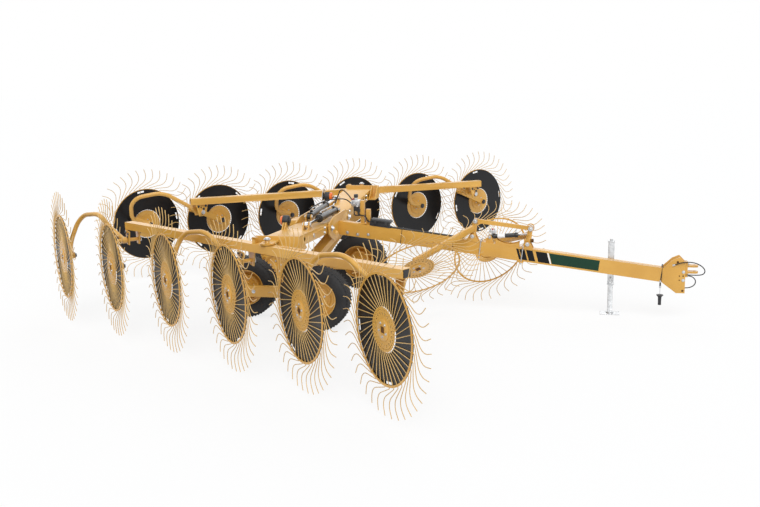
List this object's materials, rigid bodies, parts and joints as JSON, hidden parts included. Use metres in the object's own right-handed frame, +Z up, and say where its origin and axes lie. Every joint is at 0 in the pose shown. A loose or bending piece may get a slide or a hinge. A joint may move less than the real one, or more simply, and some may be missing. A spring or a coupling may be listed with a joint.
{
  "type": "wheel rake",
  "caption": "Towed V-shaped hay rake with guarded tined wheels on two folding side beams, raised centre wheels, tandem carriage, tongue and jack.",
  "frame": {"origin": "centre of the hitch pin bore, midway between the clevis prongs", "axes": "+X forward along the tongue, +Y to the left of the machine, +Z up"},
  "size_m": [7.2339, 7.7672, 1.4503],
  "materials": {
    "yellow_paint": "semi-gloss enamel",
    "black_sheet": "satin black sheet",
    "black_paint": "gloss black",
    "black_plastic": "matt moulded",
    "chrome_rod": "polished",
    "zinc": "dull zinc plate",
    "tyre": "dull rubber"
  },
  "bodies": {
    "chassis": {"carriage": "yellow_paint", "tongue": "yellow_paint", "walking_beams": "yellow_paint", "hitch_clevis": "yellow_paint", "jack_tube": "zinc", "tool_box": "black_plastic"},
    "jack_leg": {"jack_leg": "zinc"},
    "right_rear_wheel": {"right_rear_tyre": "tyre", "right_rear_rim": "yellow_paint"},
    "right_front_wheel": {"right_front_tyre": "tyre", "right_front_rim": "yellow_paint"},
    "right_lift": {"right_lift_arm": "yellow_paint"},
    "right_side": {"right_beam": "yellow_paint", "right_beam_plug": "black_plastic", "right_wheel_arms": "yellow_paint"},
    "right_rake_1": {"right_wheel_1": "yellow_paint", "right_guard_1": "black_sheet"},
    "right_rake_2": {"right_wheel_2": "yellow_paint", "right_guard_2": "black_sheet"},
    "right_rake_3": {"right_wheel_3": "yellow_paint", "right_guard_3": "black_sheet"},
    "right_rake_4": {"right_wheel_4": "yellow_paint", "right_guard_4": "black_sheet"},
    "right_rake_5": {"right_wheel_5": "yellow_paint", "right_guard_5": "black_sheet"},
    "right_rake_6": {"right_wheel_6": "yellow_paint", "right_guard_6": "black_sheet"},
    "right_lift_barrel": {"right_lift_barrel": "black_paint"},
    "right_lift_rod": {"right_lift_rod": "chrome_rod"},
    "left_rear_wheel": {"left_rear_tyre": "tyre", "left_rear_rim": "yellow_paint"},
    "left_front_wheel": {"left_front_tyre": "tyre", "left_front_rim": "yellow_paint"},
    "left_lift": {"left_lift_arm": "yellow_paint"},
    "left_side": {"left_beam": "yellow_paint", "left_beam_plug": "black_plastic", "left_wheel_arms": "yellow_paint"},
    "left_rake_1": {"left_wheel_1": "yellow_paint", "left_guard_1": "black_sheet"},
    "left_rake_2": {"left_wheel_2": "yellow_paint", "left_guard_2": "black_sheet"},
    "left_rake_3": {"left_wheel_3": "yellow_paint", "left_guard_3": "black_sheet"},
    "left_rake_4": {"left_wheel_4": "yellow_paint", "left_guard_4": "black_sheet"},
    "left_rake_5": {"left_wheel_5": "yellow_paint", "left_guard_5": "black_sheet"},
    "left_rake_6": {"left_wheel_6": "yellow_paint", "left_guard_6": "black_sheet"},
    "left_lift_barrel": {"left_lift_barrel": "black_paint"},
    "left_lift_rod": {"left_lift_rod": "chrome_rod"},
    "right_kicker": {"right_kicker_arm": "yellow_paint"},
    "right_kicker_reel": {"right_kicker_wheel": "yellow_paint"},
    "left_kicker": {"left_kicker_arm": "yellow_paint"},
    "left_kicker_reel": {"left_kicker_wheel": "yellow_paint"},
    "kicker_link": {"kicker_link": "yellow_paint"},
    "kicker_ram_barrel": {"kicker_ram_barrel": "black_paint"},
    "kicker_ram_rod": {"kicker_ram_rod": "chrome_rod"}
  },
  "joints": [
    {"name": "jack_slide", "type": "slide", "parent": "chassis", "child": "jack_leg", "axis": [0, 0, 1], "range_m": [0, 0.29]},
    {"name": "right_rear_wheel_spin", "type": "hinge", "parent": "chassis", "child": "right_rear_wheel", "pos_m": [-4.808, -0.507, -0.209], "axis": [0, 1, 0], "continuous": true},
    {"name": "right_front_wheel_spin", "type": "hinge", "parent": "chassis", "child": "right_front_wheel", "pos_m": [-3.868, -0.937, -0.209], "axis": [0, 1, 0], "continuous": true},
    {"name": "right_lift_hinge", "type": "hinge", "parent": "chassis", "child": "right_lift", "pos_m": [-4.0583, -0.38, 0.44], "axis": [-1, 0, 0], "range_deg": [0, 28]},
    {"name": "right_swing", "type": "hinge", "parent": "right_lift", "child": "right_side", "pos_m": [-4.0583, -1.95958, 0.559], "axis": [0, 0, 1], "range_deg": [0, 24]},
    {"name": "right_rake_1_spin", "type": "hinge", "parent": "right_side", "child": "right_rake_1", "pos_m": [-6.731, -1.038, 0.192], "axis": [-0.7604, -0.6494, 0], "continuous": true},
    {"name": "right_rake_2_spin", "type": "hinge", "parent": "right_side", "child": "right_rake_2", "pos_m": [-5.91722, -1.49842, 0.192], "axis": [-0.7604, -0.6494, 0], "continuous": true},
    {"name": "right_rake_3_spin", "type": "hinge", "parent": "right_side", "child": "right_rake_3", "pos_m": [-5.10344, -1.95883, 0.192], "axis": [-0.7604, -0.6494, 0], "continuous": true},
    {"name": "right_rake_4_spin", "type": "hinge", "parent": "right_side", "child": "right_rake_4", "pos_m": [-4.28965, -2.41925, 0.192], "axis": [-0.7604, -0.6494, 0], "continuous": true},
    {"name": "right_rake_5_spin", "type": "hinge", "parent": "right_side", "child": "right_rake_5", "pos_m": [-3.47587, -2.87966, 0.192], "axis": [-0.7604, -0.6494, 0], "continuous": true},
    {"name": "right_rake_6_spin", "type": "hinge", "parent": "right_side", "child": "right_rake_6", "pos_m": [-2.66209, -3.34008, 0.192], "axis": [-0.7604, -0.6494, 0], "continuous": true},
    {"name": "right_lift_barrel_hinge", "type": "hinge", "parent": "chassis", "child": "right_lift_barrel", "pos_m": [-3.97031, 0.26, 0.54], "axis": [1, 0, 0], "range_deg": [-13.58, 0]},
    {"name": "right_lift_rod_slide", "type": "slide", "parent": "right_lift_barrel", "child": "right_lift_rod", "axis": [0, -0.9996, 0.0275], "range_m": [-0.08748, 0]},
    {"name": "left_rear_wheel_spin", "type": "hinge", "parent": "chassis", "child": "left_rear_wheel", "pos_m": [-4.808, 0.507, -0.209], "axis": [0, 1, 0], "continuous": true},
    {"name": "left_front_wheel_spin", "type": "hinge", "parent": "chassis", "child": "left_front_wheel", "pos_m": [-3.868, 0.937, -0.209], "axis": [0, 1, 0], "continuous": true},
    {"name": "left_lift_hinge", "type": "hinge", "parent": "chassis", "child": "left_lift", "pos_m": [-4.0583, 0.38, 0.44], "axis": [1, 0, 0], "range_deg": [0, 28]},
    {"name": "left_swing", "type": "hinge", "parent": "left_lift", "child": "left_side", "pos_m": [-4.0583, 1.95958, 0.559], "axis": [0, 0, -1], "range_deg": [0, 24]},
    {"name": "left_rake_1_spin", "type": "hinge", "parent": "left_side", "child": "left_rake_1", "pos_m": [-6.731, 1.038, 0.192], "axis": [-0.7604, 0.6494, 0], "continuous": true},
    {"name": "left_rake_2_spin", "type": "hinge", "parent": "left_side", "child": "left_rake_2", "pos_m": [-5.91722, 1.49842, 0.192], "axis": [-0.7604, 0.6494, 0], "continuous": true},
    {"name": "left_rake_3_spin", "type": "hinge", "parent": "left_side", "child": "left_rake_3", "pos_m": [-5.10344, 1.95883, 0.192], "axis": [-0.7604, 0.6494, 0], "continuous": true},
    {"name": "left_rake_4_spin", "type": "hinge", "parent": "left_side", "child": "left_rake_4", "pos_m": [-4.28965, 2.41925, 0.192], "axis": [-0.7604, 0.6494, 0], "continuous": true},
    {"name": "left_rake_5_spin", "type": "hinge", "parent": "left_side", "child": "left_rake_5", "pos_m": [-3.47587, 2.87966, 0.192], "axis": [-0.7604, 0.6494, 0], "continuous": true},
    {"name": "left_rake_6_spin", "type": "hinge", "parent": "left_side", "child": "left_rake_6", "pos_m": [-2.66209, 3.34008, 0.192], "axis": [-0.7604, 0.6494, 0], "continuous": true},
    {"name": "left_lift_barrel_hinge", "type": "hinge", "parent": "chassis", "child": "left_lift_barrel", "pos_m": [-4.1463, -0.26, 0.54], "axis": [-1, 0, 0], "range_deg": [-13.58, 0]},
    {"name": "left_lift_rod_slide", "type": "slide", "parent": "left_lift_barrel", "child": "left_lift_rod", "axis": [0, 0.9996, 0.0275], "range_m": [-0.08748, 0]},
    {"name": "right_kicker_hinge", "type": "hinge", "parent": "chassis", "child": "right_kicker", "pos_m": [-2.35, 0, 0.31724], "axis": [0, 1, 0], "range_deg": [0, 25]},
    {"name": "right_kicker_spin", "type": "hinge", "parent": "right_kicker", "child": "right_kicker_reel", "pos_m": [-2.843, -0.727, 0.09324], "axis": [0.3381, -0.6441, -0.6861], "continuous": true},
    {"name": "left_kicker_hinge", "type": "hinge", "parent": "chassis", "child": "left_kicker", "pos_m": [-1.75, 0, 0.2407], "axis": [0, 1, 0], "range_deg": [0, 25]},
    {"name": "left_kicker_spin", "type": "hinge", "parent": "left_kicker", "child": "left_kicker_reel", "pos_m": [-2.243, 0.727, 0.0167], "axis": [0.3381, 0.6441, -0.6861], "continuous": true},
    {"name": "kicker_link_hinge", "type": "hinge", "parent": "right_kicker", "child": "kicker_link", "pos_m": [-2.32, 0, 0.48224], "axis": [0, 1, 0], "range_deg": [-25, 0]},
    {"name": "kicker_ram_hinge", "type": "hinge", "parent": "chassis", "child": "kicker_ram_barrel", "pos_m": [-2.162, 0, 0.30726], "axis": [0, 1, 0], "range_deg": [0, 2.85]},
    {"name": "kicker_ram_slide", "type": "slide", "parent": "kicker_ram_barrel", "child": "kicker_ram_rod", "axis": [0.997, 0, 0.0779], "range_m": [0, 0.04078]}
  ],
  "couplings": [
    {"joint": "right_lift_barrel_hinge", "follows": "right_lift_hinge", "ratio": -0.46713},
    {"joint": "right_lift_rod_slide", "follows": "right_lift_hinge", "m_per_rad": -0.17696},
    {"joint": "left_lift_barrel_hinge", "follows": "left_lift_hinge", "ratio": -0.46713},
    {"joint": "left_lift_rod_slide", "follows": "left_lift_hinge", "m_per_rad": -0.17696},
    {"joint": "left_kicker_hinge", "follows": "right_kicker_hinge", "ratio": 1},
    {"joint": "kicker_link_hinge", "follows": "right_kicker_hinge", "ratio": -1},
    {"joint": "kicker_ram_hinge", "follows": "right_kicker_hinge", "ratio": 0.094113},
    {"joint": "kicker_ram_slide", "follows": "right_kicker_hinge", "m_per_rad": 0.091164}
  ]
}
